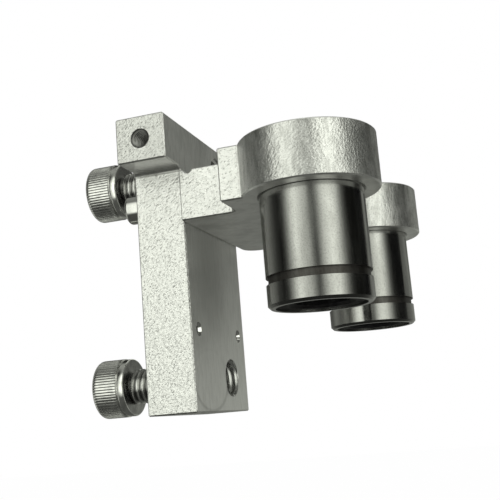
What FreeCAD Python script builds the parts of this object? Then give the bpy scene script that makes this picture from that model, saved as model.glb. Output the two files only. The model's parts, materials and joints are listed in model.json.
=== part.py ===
import FreeCAD, Part
import math
import os
import re

import Sketcher

# Linear bearing carriage: an upright plate with a bar along its top, a yoke with two rings
# butted against the plate, and a ball bearing pressed into each ring.
# Millimetres. The origin is the middle of the near bearing's bore. +Z is up along the bores,
# +Y runs from the near bearing to the far one, and +X points from the plate to the bearings.

# Driving dimensions
SIZES = [
    ("rod_d", 8.0, "diameter of the rod that each bearing runs on"),
    ("bearing_outer_d", 15.0, "outside diameter of a bearing sleeve"),
    ("bearing_length", 24.0, "length of a bearing sleeve"),
    ("bearing_spacing", 38.0, "distance between the two bearing axes"),
    ("groove_span", 17.5, "distance over the outer edges of a sleeve's two grooves"),
    ("groove_width", 1.1, "width of a sleeve groove"),
    ("groove_depth", 0.35, "depth of a sleeve groove"),
    ("sleeve_chamfer", 0.4, "chamfer on a sleeve's end edges"),
    ("sleeve_end_wall", 1.05, "sleeve wall around the seal seat"),
    ("ball_d", 1.5, "diameter of a bearing ball"),
    ("ball_play", 0.02, "room between a ball and the rod or the raceway"),
    ("ball_gap", 0.1, "gap between neighbouring balls of a row"),
    ("balls_per_row", 8, "balls in one loaded row"),
    ("ball_rows", 4, "loaded rows in one bearing"),
    ("cage_bore_play", 0.2, "room between the rod and the cage"),
    ("cage_outer_play", 0.1, "room between the cage and the raceway"),
    ("cage_slot_play", 0.06, "room between a ball and its cage slot"),
    ("seal_recess", 0.3, "depth of a seal below the sleeve's end"),
    ("seal_thickness", 1.7, "thickness of a seal at its rim"),
    ("seal_dish", 0.4, "fall of a seal's outer face from rim to lip"),
    ("seal_lip_width", 0.6, "length of the lip that wipes the rod"),
    ("seal_lip_height", 0.8, "depth of the relief behind the lip"),
    ("side_ring_thickness", 0.8, "thickness of the ring between seal and cage"),
    ("side_ring_play", 0.3, "room between the rod and a side ring"),
    ("edge_break", 0.2, "chamfer on the outer edges of the plate and the yoke"),
    ("ring_wall", 2.5, "wall of a yoke ring around its bearing"),
    ("bore_chamfer", 0.3, "chamfer at both mouths of a yoke ring's bore"),
    ("yoke_height", 8.0, "height of the yoke along the bores"),
    ("web_depth", 11.5, "yoke web from the plate to the slot floor"),
    ("slot_depth", 10.0, "slot floor to the plane of the bearing axes"),
    ("slot_fillet", 2.0, "fillet between the slot floor and a ring"),
    ("web_setback", 3.5, "web end face measured inwards from the bearing axis beside it"),
    ("web_corner_round", 3.0, "rounding of the web's far corner at the plate"),
    ("web_relief_r", 0.75, "radius of the half-round relief in the web's top near edge"),
    ("web_relief_gap", 0.75, "wall between the relief and the plate"),
    ("web_relief_depth", 3.0, "relief along the web"),
    ("tab_depth", 2.5, "shoulder tab behind the slot floor"),
    ("tab_reach", 7.25, "shoulder tab beyond the web's end face"),
    ("tab_fillet", 1.2, "fillet between the web's end face and a tab"),
    ("plate_thickness", 8.0, "thickness of the carriage plate"),
    ("plate_width", 24.0, "width of the carriage plate"),
    ("plate_height", 45.2, "height of the carriage plate, bar included"),
    ("plate_side_inset", 1.25, "plate's near edge inside the web's near end face"),
    ("bar_height", 7.2, "height of the bar along the plate's top"),
    ("bar_overhang", 6.0, "bar beyond the plate's near edge"),
    ("bar_fillet", 1.1, "fillet between the bar's underside and the plate's edge"),
    ("bar_clearance", 1.0, "gap between the yoke's top and the bar's underside"),
    ("bar_hole_d", 3.0, "thread hole in the bar's end"),
    ("bar_hole_mouth_d", 3.1, "countersink of the bar's hole"),
    ("bar_hole_depth", 9.0, "depth of the bar's hole"),
    ("tapped_hole_d", 1.6, "small thread holes through the plate"),
    ("tapped_hole_mouth_d", 2.2, "countersink of the small thread holes"),
    ("tapped_hole_edge", 3.0, "small thread holes from the plate's side edges"),
    ("tapped_hole_rise", 12.7, "small thread holes above the plate's bottom"),
    ("clamp_screw_d", 6.0, "thread diameter of a clamp screw"),
    ("clamp_screw_length", 16.0, "clamp screw under its head"),
    ("clamp_screw_head_d", 10.0, "head diameter of a clamp screw"),
    ("clamp_screw_head_height", 6.0, "head height of a clamp screw"),
    ("clamp_screw_head_round", 0.8, "rounding of a clamp screw's head"),
    ("clamp_screw_socket_width", 5.0, "clamp screw socket across flats"),
    ("clamp_screw_socket_depth", 3.0, "depth of a clamp screw's socket"),
    ("clamp_screw_tip_chamfer", 0.7, "chamfer at a clamp screw's tip"),
    ("clamp_screw_play", 0.05, "room between a clamp screw and its hole"),
    ("clamp_hole_mouth_d", 6.2, "countersink of a clamp screw's hole"),
    ("clamp_screw_offset", 4.5, "clamp screws beyond the plate's middle"),
    ("lower_screw_rise", 5.5, "lower clamp screw above the plate's bottom"),
    ("upper_screw_drop", 4.7, "upper clamp screw below the plate's top"),
    ("lower_screw_gap", 9.8, "lower clamp screw's head off the plate"),
    ("upper_screw_gap", 9.3, "upper clamp screw's head off the plate"),
    ("yoke_screw_d", 2.5, "thread diameter of a yoke screw"),
    ("yoke_screw_length", 16.0, "yoke screw under its head"),
    ("yoke_screw_head_d", 4.6, "head diameter of a yoke screw"),
    ("yoke_screw_head_height", 2.6, "head height of a yoke screw"),
    ("yoke_screw_head_round", 0.5, "rounding of a yoke screw's head"),
    ("yoke_screw_socket_width", 2.0, "yoke screw socket across flats"),
    ("yoke_screw_socket_depth", 1.2, "depth of a yoke screw's socket"),
    ("yoke_screw_tip_chamfer", 0.3, "chamfer at a yoke screw's tip"),
    ("yoke_screw_play", 0.15, "room between a yoke screw and the plate"),
    ("yoke_thread_play", 0.02, "room between a yoke screw and its thread in the yoke"),
    ("yoke_screw_tip_room", 0.6, "thread hole beyond a yoke screw's tip"),
    ("yoke_screw_edge", 3.0, "yoke screws from the plate's side edges"),
]
ALIASES = {alias for alias, _, _ in SIZES}

# Sizes worked out from the driving dimensions
ROD_R = "(rod_d / 2)"
SLEEVE_R = "(bearing_outer_d / 2)"
SLEEVE_END = "(bearing_length / 2)"
RACEWAY_R = "(rod_d / 2 + ball_d + 2 * ball_play)"
BALL_CIRCLE_R = "(rod_d / 2 + ball_d / 2 + ball_play)"
SEAL_SEAT_R = "(bearing_outer_d / 2 - sleeve_end_wall)"
SEAL_FACE = "(bearing_length / 2 - seal_recess)"
SEAL_BACK = "(bearing_length / 2 - seal_recess - seal_thickness)"
SEAT_FLOOR = "(bearing_length / 2 - seal_recess - seal_thickness - side_ring_thickness)"
RING_R = "(bearing_outer_d / 2 + ring_wall)"
YOKE_BOTTOM = "(bearing_length / 2 - yoke_height)"
YOKE_MIDDLE = "(bearing_length / 2 - yoke_height / 2)"
PLATE_FACE = "(-web_depth - slot_depth)"
PLATE_NEAR = "(web_setback + plate_side_inset)"
PLATE_BOTTOM = "(bearing_length / 2 + bar_clearance + bar_height - plate_height)"
CLAMP_SCREW_Y = "(plate_width / 2 + clamp_screw_offset)"
UPPER_SCREW_RISE = "(plate_height - upper_screw_drop)"
YOKE_SCREW_SIDES = {"near": "yoke_screw_edge", "far": "(plate_width - yoke_screw_edge)"}
BEARING_PLACES = {"near": "0", "far": "bearing_spacing"}

COUNTERSINK_ANGLE = 60.0
FULL_TURN = 360.0
SAME_POINT = 1e-5
PROBE = 1e-3

doc = FreeCAD.newDocument("CarriagePlate")
sheet = doc.addObject("Spreadsheet::Sheet", "Sizes")
for row, (alias, size, meaning) in enumerate(SIZES, start=1):
    sheet.set(f"A{row}", meaning)
    sheet.set(f"B{row}", str(size))
    sheet.setAlias(f"B{row}", alias)
doc.recompute()


def bound(formula):
    """The formula with each size read from its cell."""
    return re.sub(r"[a-z_]+", lambda word: f"Sizes.{word[0]}" if word[0] in ALIASES else word[0], formula)


def amount(formula):
    return float(sheet.evalExpression(bound(formula)))


def point(x, y):
    return FreeCAD.Vector(amount(x), amount(y), 0)


def new_body(label):
    body = doc.addObject("PartDesign::Body", label)
    body.Label = label
    return body


def place(body, x, y, z, rotation=FreeCAD.Rotation()):
    """Put a sub-part at its place in the part's frame, bound to the sizes."""
    body.Placement = FreeCAD.Placement(FreeCAD.Vector(), rotation)
    for axis, formula in (("x", x), ("y", y), ("z", z)):
        body.setExpression(f"Placement.Base.{axis}", bound(formula))


def new_sketch(body, plane, offset="0"):
    """A sketch on one of the body's own origin planes, moved along the plane's normal."""
    sketch = body.newObject("Sketcher::SketchObject", f"{body.Name}_sketch")
    support = next(item for item in body.Origin.OriginFeatures if item.Role == plane)
    sketch.AttachmentSupport = [(support, "")]
    sketch.MapMode = "FlatFace"
    sketch.setExpression("AttachmentOffset.Base.z", bound(offset))
    return sketch


def dimension(sketch, kind, geometry, formula):
    """Add a driving dimension and bind it to the sizes."""
    index = sketch.addConstraint(Sketcher.Constraint(kind, *geometry, amount(formula)))
    sketch.setExpression(f"Constraints[{index}]", bound(formula))


def fix_point(sketch, curve, end, x, y):
    dimension(sketch, "DistanceX", (-1, 1, curve, end), x)
    dimension(sketch, "DistanceY", (-1, 1, curve, end), y)


def arc_through(start, end, centre, clockwise):
    """The arc from start to end about a centre, turning the given way. A sketch takes arcs drawn
    anticlockwise, so a clockwise one is drawn from its end."""
    first = math.atan2(start.y - centre.y, start.x - centre.x)
    last = math.atan2(end.y - centre.y, end.x - centre.x)
    turn = (first - last if clockwise else last - first) % (2 * math.pi)
    middle = first - turn / 2 if clockwise else first + turn / 2
    radius = (start - centre).Length
    reach = FreeCAD.Vector(math.cos(middle), math.sin(middle), 0) * radius
    if clockwise:
        start, end = end, start
    return Part.Arc(start, centre + reach, end)


def outline(sketch, path):
    """A closed outline of lines and arcs. Each step of the path is the point it ends at, and an
    arc's step adds its centre and whether it turns clockwise."""
    curves = []
    for before, step in zip(path[-1:] + path[:-1], path):
        start = point(*before[:2])
        end = point(*step[:2])
        if len(step) == 2:
            index = sketch.addGeometry(Part.LineSegment(start, end))
        else:
            index = sketch.addGeometry(arc_through(start, end, point(*step[2:4]), step[4]))
            chord = end - start
            if abs(chord.x) > abs(chord.y):
                dimension(sketch, "DistanceY", (-1, 1, index, 3), step[3])
            else:
                dimension(sketch, "DistanceX", (-1, 1, index, 3), step[2])
        drawn_forwards = sketch.Geometry[index].StartPoint.isEqual(start, SAME_POINT)
        curves.append((index, 1, 2) if drawn_forwards else (index, 2, 1))
    for (curve, _, end), (following, begin, _), step in zip(curves, curves[1:] + curves[:1], path):
        sketch.addConstraint(Sketcher.Constraint("Coincident", curve, end, following, begin))
        fix_point(sketch, curve, end, *step[:2])


def circles(sketch, centres, diameter):
    for x, y in centres:
        shape = Part.Circle(point(x, y), FreeCAD.Vector(0, 0, 1), amount(diameter) / 2)
        index = sketch.addGeometry(shape)
        dimension(sketch, "Diameter", (index,), diameter)
        fix_point(sketch, index, 3, x, y)


def pad(body, sketch, length, reverse=False):
    feature = body.newObject("PartDesign::Pad", f"{body.Name}_pad")
    feature.Profile = sketch
    feature.setExpression("Length", bound(length))
    feature.Reversed = reverse
    doc.recompute()


def pocket(body, sketch, depth=None, reverse=False):
    """Cut the sketch into the body, to a depth or right through, and make sure that it cut."""
    before = body.Shape.Volume
    feature = body.newObject("PartDesign::Pocket", f"{body.Name}_pocket")
    feature.Profile = sketch
    feature.Reversed = reverse
    if depth is None:
        feature.Type = "ThroughAll"
    else:
        feature.setExpression("Length", bound(depth))
    doc.recompute()
    if not body.Shape.Volume < before:
        raise RuntimeError(f"{feature.Name} cuts nothing")
    return feature


def drill(body, sketch, diameter, mouth, depth=None):
    """Countersunk holes at the sketch's circles, to a depth or right through."""
    before = body.Shape.Volume
    doc.recompute()
    hole = body.newObject("PartDesign::Hole", f"{body.Name}_hole")
    hole.Profile = sketch
    hole.HoleCutType = "Countersink"
    hole.HoleCutCountersinkAngle = COUNTERSINK_ANGLE
    hole.DepthType = "ThroughAll" if depth is None else "Dimension"
    hole.setExpression("Diameter", bound(diameter))
    hole.setExpression("HoleCutDiameter", bound(mouth))
    if depth is not None:
        hole.setExpression("Depth", bound(depth))
    doc.recompute()
    if not body.Shape.Volume < before:
        raise RuntimeError(f"{hole.Name} cuts nothing")


def sharp_corners(shape):
    """Names of the edges where two faces meet at an outer corner. Just past such an edge, out of
    one face and in behind the other, there is no material."""
    names = []
    for number, edge in enumerate(shape.Edges, start=1):
        middle = edge.valueAt((edge.FirstParameter + edge.LastParameter) / 2)
        first, second = shape.ancestorsOfType(edge, Part.Face)
        out = first.normalAt(*first.Surface.parameter(middle))
        behind = second.normalAt(*second.Surface.parameter(middle))
        smooth = out.isEqual(behind, PROBE)
        if not smooth and not shape.isInside(middle + (out - behind) * PROBE, SAME_POINT, True):
            names.append(f"Edge{number}")
    return names


def round_mouths(shape, radius):
    """Names of the full circles of a radius, where a bore meets the faces around it."""
    names = []
    for number, edge in enumerate(shape.Edges, start=1):
        circle = isinstance(edge.Curve, Part.Circle) and edge.isClosed()
        if circle and abs(edge.Curve.Radius - amount(radius)) < SAME_POINT:
            names.append(f"Edge{number}")
    return names


def chamfer(body, edges, size):
    base = body.Tip
    feature = body.newObject("PartDesign::Chamfer", f"{body.Name}_chamfer")
    feature.Base = (base, edges)
    feature.setExpression("Size", bound(size))
    doc.recompute()


def revolve(body, sketch):
    """Turn a sketch of radius and height about the body's Z axis."""
    feature = body.newObject("PartDesign::Revolution", f"{body.Name}_revolution")
    feature.Profile = sketch
    feature.ReferenceAxis = (sketch, ["V_Axis"])
    feature.Angle = FULL_TURN
    doc.recompute()


# Carriage plate: its own corner is the near bottom corner of the face that the yoke sits on
def carriage_plate():
    body = new_body("carriage_plate")
    bar_bottom = "(plate_height - bar_height)"
    profile = new_sketch(body, "YZ_Plane")
    outline(profile, [
        ("0", "0"),
        ("plate_width", "0"),
        ("plate_width", "plate_height"),
        ("-bar_overhang", "plate_height"),
        ("-bar_overhang", bar_bottom),
        ("-bar_fillet", bar_bottom),
        ("0", f"{bar_bottom} - bar_fillet", "-bar_fillet", f"{bar_bottom} - bar_fillet", True),
    ])
    pad(body, profile, "plate_thickness", reverse=True)
    chamfer(body, sharp_corners(body.Shape), "edge_break")

    clamp_holes = new_sketch(body, "YZ_Plane")
    clamp_places = [(CLAMP_SCREW_Y, "lower_screw_rise"), (CLAMP_SCREW_Y, UPPER_SCREW_RISE)]
    clamp_hole_d = "clamp_screw_d + 2 * clamp_screw_play"
    circles(clamp_holes, clamp_places, clamp_hole_d)
    drill(body, clamp_holes, clamp_hole_d, "clamp_hole_mouth_d")

    tapped_holes = new_sketch(body, "YZ_Plane")
    tapped_sides = ["tapped_hole_edge", "plate_width - tapped_hole_edge"]
    circles(tapped_holes, [(side, "tapped_hole_rise") for side in tapped_sides], "tapped_hole_d")
    drill(body, tapped_holes, "tapped_hole_d", "tapped_hole_mouth_d")

    yoke_holes = new_sketch(body, "YZ_Plane")
    screw_rise = f"{YOKE_MIDDLE} - {PLATE_BOTTOM}"
    yoke_places = [(side, screw_rise) for side in YOKE_SCREW_SIDES.values()]
    circles(yoke_holes, yoke_places, "yoke_screw_d + 2 * yoke_screw_play")
    pocket(body, yoke_holes)

    bar_hole = new_sketch(body, "XZ_Plane", "bar_overhang")
    circles(bar_hole, [("-plate_thickness / 2", "plate_height - bar_height / 2")], "bar_hole_d")
    drill(body, bar_hole, "bar_hole_d", "bar_hole_mouth_d", "bar_hole_depth")
    place(body, PLATE_FACE, PLATE_NEAR, PLATE_BOTTOM)


# Yoke: web, shoulder tabs and rings are one outline, round the near ring, the slot and the far ring
def bearing_yoke():
    body = new_body("bearing_yoke")
    far_end = "(bearing_spacing - web_setback)"
    shoulder = "(-slot_depth - tab_depth)"
    near_tab = "(web_setback - tab_reach)"
    far_tab = f"({far_end} + tab_reach)"
    tab_meets_ring = f"-sqrt({RING_R}^2 - {near_tab}^2)"
    fillet_x = "(slot_fillet - slot_depth)"
    fillet_y = f"sqrt(({RING_R} + slot_fillet)^2 - {fillet_x}^2)"
    touch = f"({RING_R} / ({RING_R} + slot_fillet))"
    before_shoulder = f"{shoulder} - tab_fillet"
    profile = new_sketch(body, "XY_Plane")
    outline(profile, [
        (PLATE_FACE, "web_setback"),
        (before_shoulder, "web_setback"),
        (shoulder, "web_setback - tab_fillet", before_shoulder, "web_setback - tab_fillet", True),
        (shoulder, near_tab),
        (tab_meets_ring, near_tab),
        (f"{fillet_x} * {touch}", f"{fillet_y} * {touch}", "0", "0", False),
        ("-slot_depth", fillet_y, fillet_x, fillet_y, True),
        ("-slot_depth", f"bearing_spacing - {fillet_y}"),
        (f"{fillet_x} * {touch}", f"bearing_spacing - {fillet_y} * {touch}",
         fillet_x, f"bearing_spacing - {fillet_y}", True),
        (tab_meets_ring, far_tab, "0", "bearing_spacing", False),
        (shoulder, far_tab),
        (shoulder, f"{far_end} + tab_fillet"),
        (before_shoulder, far_end, before_shoulder, f"{far_end} + tab_fillet", True),
        (f"{PLATE_FACE} + web_corner_round", far_end),
        (PLATE_FACE, f"{far_end} - web_corner_round",
         f"{PLATE_FACE} + web_corner_round", f"{far_end} - web_corner_round", False),
    ])
    pad(body, profile, "yoke_height")
    chamfer(body, sharp_corners(body.Shape), "edge_break")

    bores = new_sketch(body, "XY_Plane")
    circles(bores, [("0", place_y) for place_y in BEARING_PLACES.values()], "bearing_outer_d")
    pocket(body, bores, reverse=True)
    chamfer(body, round_mouths(body.Shape, SLEEVE_R), "bore_chamfer")

    relief = new_sketch(body, "XZ_Plane", "-web_setback")
    relief_x = f"{PLATE_FACE} + web_relief_gap + web_relief_r"
    circles(relief, [(relief_x, "yoke_height")], "2 * web_relief_r")
    pocket(body, relief, "web_relief_depth")

    threads = new_sketch(body, "YZ_Plane", PLATE_FACE)
    places = [(f"{PLATE_NEAR} + {side}", "yoke_height / 2") for side in YOKE_SCREW_SIDES.values()]
    circles(threads, places, "yoke_screw_d + 2 * yoke_thread_play")
    pocket(body, threads, "yoke_screw_length - plate_thickness + yoke_screw_tip_room", reverse=True)
    place(body, "0", "0", YOKE_BOTTOM)


# Socket cap screw: its seat under the head is at height 0, and its shank points down
def cap_screw(label, kind, x, y, z):
    body = new_body(label)
    shank_r = f"({kind}_d / 2)"
    head_r = f"({kind}_head_d / 2)"
    head_top = f"{kind}_head_height"
    round_r = f"{kind}_head_round"
    chamfer = f"{kind}_tip_chamfer"
    profile = new_sketch(body, "XZ_Plane")
    outline(profile, [
        ("0", head_top),
        ("0", f"-{kind}_length"),
        (f"{shank_r} - {chamfer}", f"-{kind}_length"),
        (shank_r, f"{chamfer} - {kind}_length"),
        (shank_r, "0"),
        (head_r, "0"),
        (head_r, f"{head_top} - {round_r}"),
        (f"{head_r} - {round_r}", head_top, f"{head_r} - {round_r}", f"{head_top} - {round_r}", False),
    ])
    revolve(body, profile)

    flat = f"({kind}_socket_width / 2)"
    corner = f"({kind}_socket_width / sqrt(3))"
    socket = new_sketch(body, "XY_Plane", head_top)
    outline(socket, [
        (corner, "0"),
        (f"{corner} / 2", flat),
        (f"-{corner} / 2", flat),
        (f"-{corner}", "0"),
        (f"-{corner} / 2", f"-{flat}"),
        (f"{corner} / 2", f"-{flat}"),
    ])
    pocket(body, socket, f"{kind}_socket_depth")
    head_towards_tool = FreeCAD.Rotation(FreeCAD.Vector(0, 1, 0), -90)
    place(body, x, y, z, head_towards_tool)


# Bearing sleeve: a hardened tube with two clip grooves outside and a seal seat in each end
def sleeve(side):
    body = new_body(f"{side}_sleeve")
    groove_outer = "(groove_span / 2)"
    groove_inner = "(groove_span / 2 - groove_width)"
    groove_r = f"({SLEEVE_R} - groove_depth)"
    upper_half = [
        (SLEEVE_R, groove_inner),
        (groove_r, groove_inner),
        (groove_r, groove_outer),
        (SLEEVE_R, groove_outer),
        (SLEEVE_R, f"{SLEEVE_END} - sleeve_chamfer"),
        (f"{SLEEVE_R} - sleeve_chamfer", SLEEVE_END),
        (SEAL_SEAT_R, SLEEVE_END),
        (SEAL_SEAT_R, SEAT_FLOOR),
        (RACEWAY_R, SEAT_FLOOR),
    ]
    lower_half = [(radius, f"-({height})") for radius, height in reversed(upper_half)]
    profile = new_sketch(body, "XZ_Plane")
    outline(profile, upper_half + lower_half)
    revolve(body, profile)
    place(body, "0", BEARING_PLACES[side], "0")


# End seal: a rubber disc that falls to a lip on the rod, with a relief behind the lip
def seal(side, end, turn):
    body = new_body(f"{side}_{end}_seal")
    relief_r = f"({ROD_R} + seal_lip_height)"
    profile = new_sketch(body, "XZ_Plane")
    outline(profile, [
        (SEAL_SEAT_R, SEAL_BACK),
        (SEAL_SEAT_R, SEAL_FACE),
        (relief_r, SEAL_FACE),
        (ROD_R, f"{SEAL_FACE} - seal_dish"),
        (ROD_R, f"{SEAL_FACE} - seal_dish - seal_lip_width"),
        (relief_r, SEAL_BACK),
    ])
    revolve(body, profile)
    place(body, "0", BEARING_PLACES[side], "0", turn)


# Side ring: the flat ring that holds the cage in and backs the seal
def side_ring(side, end, turn):
    body = new_body(f"{side}_{end}_side_ring")
    inner_r = f"({ROD_R} + side_ring_play)"
    profile = new_sketch(body, "XZ_Plane")
    outline(profile, [
        (inner_r, SEAT_FLOOR),
        (SEAL_SEAT_R, SEAT_FLOOR),
        (SEAL_SEAT_R, SEAL_BACK),
        (inner_r, SEAL_BACK),
    ])
    revolve(body, profile)
    place(body, "0", BEARING_PLACES[side], "0", turn)


# Ball cage: a thin tube between the side rings, with a long slot for each loaded row
def cage(side):
    body = new_body(f"{side}_cage")
    inner_r = f"({ROD_R} + cage_bore_play)"
    outer_r = f"({RACEWAY_R} - cage_outer_play)"
    profile = new_sketch(body, "XZ_Plane")
    outline(profile, [
        (inner_r, f"-{SEAT_FLOOR}"),
        (outer_r, f"-{SEAT_FLOOR}"),
        (outer_r, SEAT_FLOOR),
        (inner_r, SEAT_FLOOR),
    ])
    revolve(body, profile)

    half_width = "(ball_d / 2 + cage_slot_play)"
    half_length = "((balls_per_row - 1) * (ball_d + ball_gap) / 2)"
    slot_shape = new_sketch(body, "YZ_Plane")
    outline(slot_shape, [
        (half_width, half_length),
        (f"-{half_width}", half_length, "0", half_length, False),
        (f"-{half_width}", f"-{half_length}"),
        (half_width, f"-{half_length}", "0", f"-{half_length}", False),
    ])
    slot = pocket(body, slot_shape, reverse=True)
    pattern = body.newObject("PartDesign::PolarPattern", f"{body.Name}_pattern")
    pattern.Originals = [slot]
    pattern.Axis = (slot_shape, ["V_Axis"])
    pattern.Angle = FULL_TURN
    pattern.setExpression("Occurrences", bound("ball_rows"))
    body.Tip = pattern
    place(body, "0", BEARING_PLACES[side], "0")


# Balls of the loaded rows, each row in its own cage slot
def balls(side):
    rows = int(amount("ball_rows"))
    per_row = int(amount("balls_per_row"))
    radius = amount("ball_d / 2")
    pitch = amount("ball_d + ball_gap")
    spheres = []
    for row in range(rows):
        turn = 2 * math.pi * row / rows
        out = FreeCAD.Vector(math.cos(turn), math.sin(turn), 0) * amount(BALL_CIRCLE_R)
        for step in range(per_row):
            rise = FreeCAD.Vector(0, 0, (step - (per_row - 1) / 2) * pitch)
            spheres.append(Part.makeSphere(radius, out + rise))
    feature = doc.addObject("Part::Feature", f"{side}_balls")
    feature.Label = f"{side}_balls"
    feature.Shape = Part.makeCompound(spheres)
    place(feature, "0", BEARING_PLACES[side], "0")


carriage_plate()
bearing_yoke()
for which, edge in YOKE_SCREW_SIDES.items():
    cap_screw(f"yoke_screw_{which}", "yoke_screw",
              f"{PLATE_FACE} - plate_thickness", f"{PLATE_NEAR} + {edge}", YOKE_MIDDLE)
for which, rise_on_plate in (("lower", "lower_screw_rise"), ("upper", UPPER_SCREW_RISE)):
    cap_screw(f"clamp_screw_{which}", "clamp_screw",
              f"{PLATE_FACE} - plate_thickness - {which}_screw_gap",
              f"{PLATE_NEAR} + {CLAMP_SCREW_Y}", f"{PLATE_BOTTOM} + {rise_on_plate}")
UPRIGHT = FreeCAD.Rotation()
UPSIDE_DOWN = FreeCAD.Rotation(FreeCAD.Vector(1, 0, 0), 180)
for bearing in BEARING_PLACES:
    sleeve(bearing)
    cage(bearing)
    balls(bearing)
    for bearing_end, facing in (("upper", UPRIGHT), ("lower", UPSIDE_DOWN)):
        seal(bearing, bearing_end, facing)
        side_ring(bearing, bearing_end, facing)
doc.recompute()

# Nothing is written unless every object is sound
for item in doc.Objects:
    if "Invalid" in item.State or "Error" in item.State:
        raise RuntimeError(f"{item.Label} failed: {item.State}")
nodes = [item for item in doc.Objects if item.TypeId in ("PartDesign::Body", "Part::Feature")]
for node in nodes:
    if node.Shape.isNull() or not node.Shape.isValid():
        raise RuntimeError(f"{node.Label} has no valid shape")
os.makedirs("parts", exist_ok=True)
for node in nodes:
    node.Shape.exportStep(f"parts/{node.Label}.step")
    box = node.Shape.BoundBox
    print(f"{node.Label}: {box.XLength:.2f} x {box.YLength:.2f} x {box.ZLength:.2f} mm,"
          f" {len(node.Shape.Solids)} solids, {node.Shape.Volume:.1f} mm3")
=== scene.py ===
# %% [markdown]
# # A linear bearing carriage, dressed for the camera
# The carriage is an upright aluminium plate with a square bar along its top. A yoke butts against
# the plate and holds two steel ball bearings, and two knurled screws clamp a tool to the other side.
# The solid model has every piece at its real size, so this lesson adds what it leaves out: the finish
# of each surface, the threads, the knurl, the studio and the camera.

# %% Load the solid model
import json
import math

import bmesh
import bpy
from mathutils import Matrix, Vector


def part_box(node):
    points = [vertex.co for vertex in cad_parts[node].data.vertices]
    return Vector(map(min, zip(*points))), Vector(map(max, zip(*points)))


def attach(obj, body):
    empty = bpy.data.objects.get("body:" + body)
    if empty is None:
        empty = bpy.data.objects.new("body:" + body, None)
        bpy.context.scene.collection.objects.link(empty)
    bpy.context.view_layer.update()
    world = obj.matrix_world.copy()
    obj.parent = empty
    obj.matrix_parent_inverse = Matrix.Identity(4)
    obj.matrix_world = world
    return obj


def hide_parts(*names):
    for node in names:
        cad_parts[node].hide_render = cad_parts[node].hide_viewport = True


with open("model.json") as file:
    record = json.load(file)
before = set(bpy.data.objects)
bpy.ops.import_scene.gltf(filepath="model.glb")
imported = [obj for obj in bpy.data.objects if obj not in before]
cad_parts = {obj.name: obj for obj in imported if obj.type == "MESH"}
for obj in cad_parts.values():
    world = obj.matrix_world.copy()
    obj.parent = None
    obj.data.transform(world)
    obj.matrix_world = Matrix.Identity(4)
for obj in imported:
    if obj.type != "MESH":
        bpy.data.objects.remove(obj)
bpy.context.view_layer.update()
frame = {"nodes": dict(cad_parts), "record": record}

MM = 0.001
scene = bpy.context.scene
mounts = {mount["name"]: mount for mount in frame["record"]["mounts"]}

# %% [markdown]
# ## The camera
# The picture was taken close up from below the bearings, a little to their right, with the camera
# rolled a few degrees. A camera can be turned by hand until the edges agree, but it is surer to
# solve it from measured corners. The result is three numbers for the place, three for the point it
# looks at, the roll, and a focal length in pixels, which a 36 mm sensor turns into a lens.

# %% Camera
PICTURE_PIXELS = 500
FOCAL_PIXELS = 877.1
SENSOR_MM = 36.0
CAMERA_PLACE = Vector((27.87, -117.88, -27.06)) * MM
CAMERA_AIM = Vector((-9.46, -1.04, -2.98)) * MM
CAMERA_ROLL = math.radians(-4.65)
NEAREST_SEEN = 5 * MM

camera = bpy.data.objects.new("camera", bpy.data.cameras.new("camera"))
scene.collection.objects.link(camera)
camera.data.sensor_width = SENSOR_MM
camera.data.lens = FOCAL_PIXELS * SENSOR_MM / PICTURE_PIXELS
camera.data.clip_start = NEAREST_SEEN
camera.location = CAMERA_PLACE
camera.rotation_mode = "QUATERNION"
looking = (CAMERA_AIM - CAMERA_PLACE).to_track_quat("-Z", "Y")
camera.rotation_quaternion = looking @ Matrix.Rotation(CAMERA_ROLL, 3, "Z").to_quaternion()
scene.camera = camera
print(f"lens {camera.data.lens:.1f} mm, {(CAMERA_AIM - CAMERA_PLACE).length / MM:.0f} mm from the part")

# %% [markdown]
# ## Node trees in a few words
# Materials and Geometry Nodes are both trees of nodes. One helper adds a node, sets its options and
# either fills each input with a number or links it to another node's output. A few more helpers
# name the steps that come back often, so that a finish reads like a recipe.

# %% Helpers for node trees
def add_node(tree, kind, inputs=None, **options):
    node = tree.nodes.new(kind)
    for name, value in options.items():
        setattr(node, name, value)
    for name, value in (inputs or {}).items():
        if isinstance(value, bpy.types.NodeSocket):
            tree.links.new(value, node.inputs[name])
        else:
            node.inputs[name].default_value = value
    return node


def calculate(tree, operation, *values):
    node = add_node(tree, "ShaderNodeMath", dict(enumerate(values)), operation=operation)
    return node.outputs[0]


def times(tree, first, *others):
    """The product of several values."""
    for other in others:
        first = calculate(tree, "MULTIPLY", first, other)
    return first


def add_share(tree, total, share, amount):
    """A total plus an amount times a share."""
    return calculate(tree, "MULTIPLY_ADD", share, amount, total)


def size_of(tree, value):
    """A value without its sign."""
    return calculate(tree, "ABSOLUTE", value)


def remap(tree, value, low, high, to_low=0.0, to_high=1.0):
    """The value's range low to high, stretched softly to another range and held at its ends."""
    inputs = {"Value": value, "From Min": low, "From Max": high, "To Min": to_low, "To Max": to_high}
    return add_node(tree, "ShaderNodeMapRange", inputs, interpolation_type="SMOOTHSTEP").outputs[0]


def axes_of(tree, vector):
    """A vector's three numbers, by the letters of their axes."""
    return add_node(tree, "ShaderNodeSeparateXYZ", {0: vector}).outputs


print("node helpers ready")


# %% Helpers for finishes
# Nearly all of a noise lies between these two values.
NOISE_SPREAD = (0.3, 0.7)


def noise(tree, place, grain, detail=2.0, roughness=0.5):
    """Cloudy noise whose lumps are about one grain across, in metres."""
    inputs = {"Vector": place, "Scale": 1 / grain, "Detail": detail, "Roughness": roughness}
    return add_node(tree, "ShaderNodeTexNoise", inputs).outputs[0]


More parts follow.
